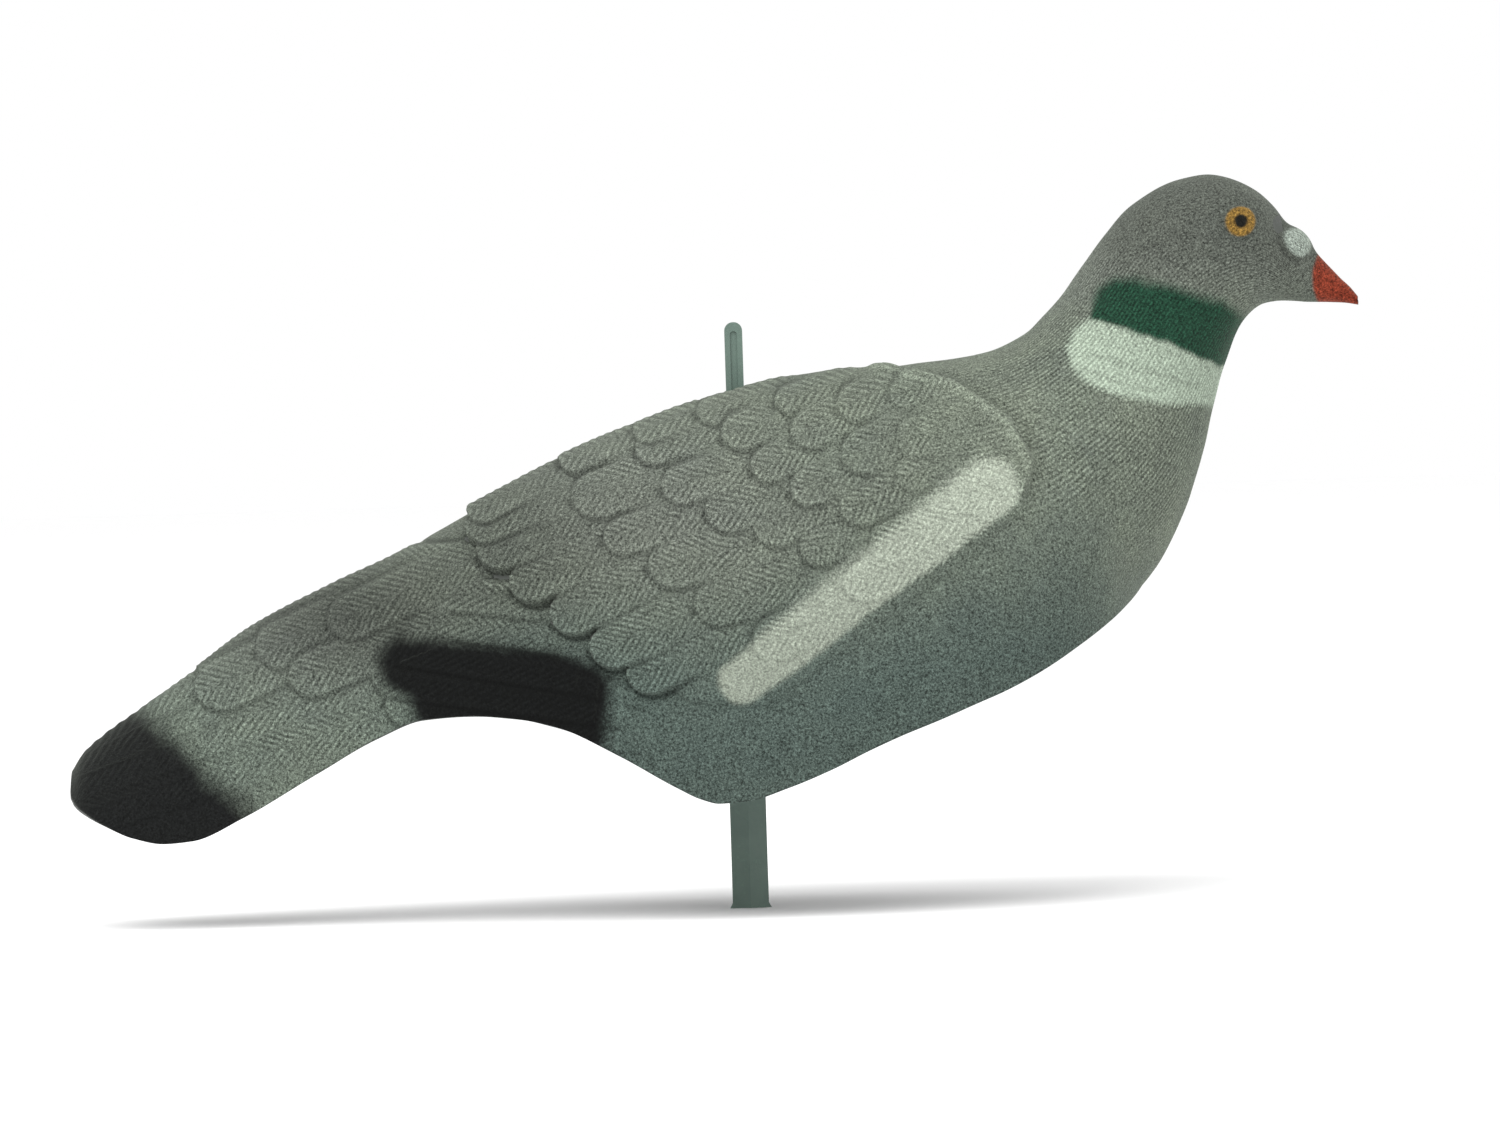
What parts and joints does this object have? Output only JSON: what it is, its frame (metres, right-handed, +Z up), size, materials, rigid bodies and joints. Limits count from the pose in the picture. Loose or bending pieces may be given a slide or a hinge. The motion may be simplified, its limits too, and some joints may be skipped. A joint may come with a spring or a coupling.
{
  "type": "bird decoy",
  "caption": "Flocked half-shell wood pigeon decoy that rocks on a ridged plastic ground stake passed through a slot in its back.",
  "frame": {"origin": "on the stake's axis at ground level, where the blade enters the soil", "axes": "+Z up along the stake, +X towards the bird's head, +Y to the bird's left"},
  "size_m": [0.3769, 0.1312, 0.3184],
  "materials": {
    "shell_plastic": "moulded polyethylene, matt grey, bare inside the shell",
    "flock_grey": "short nylon flock, slate grey, very matt with a pale fuzz at grazing angles",
    "flock_green": "nylon flock airbrushed bottle green",
    "flock_white": "nylon flock airbrushed off-white",
    "flock_black": "nylon flock airbrushed black",
    "beak_red": "flocked plastic airbrushed dull orange red",
    "eye_yellow": "nylon flock painted ochre yellow",
    "stake_plastic": "moulded polypropylene, grey green, satin"
  },
  "bodies": {
    "stake": {"stake": "stake_plastic"},
    "shell": {"body_shell": "shell_plastic", "coat_grey": "flock_grey", "neck_band_green": "flock_green", "neck_patch_white": "flock_white", "wing_bars_white": "flock_white", "primaries_black": "flock_black", "tail_band_black": "flock_black", "beak": "beak_red", "cere_white": "flock_white", "eye_rings_yellow": "eye_yellow", "pupils_black": "flock_black"}
  },
  "joints": [
    {"name": "shell_rock", "type": "hinge", "parent": "stake", "child": "shell", "pos_m": [0, 0, 0.1476], "axis": [0, 1, 0], "range_deg": [-8, 0]}
  ]
}
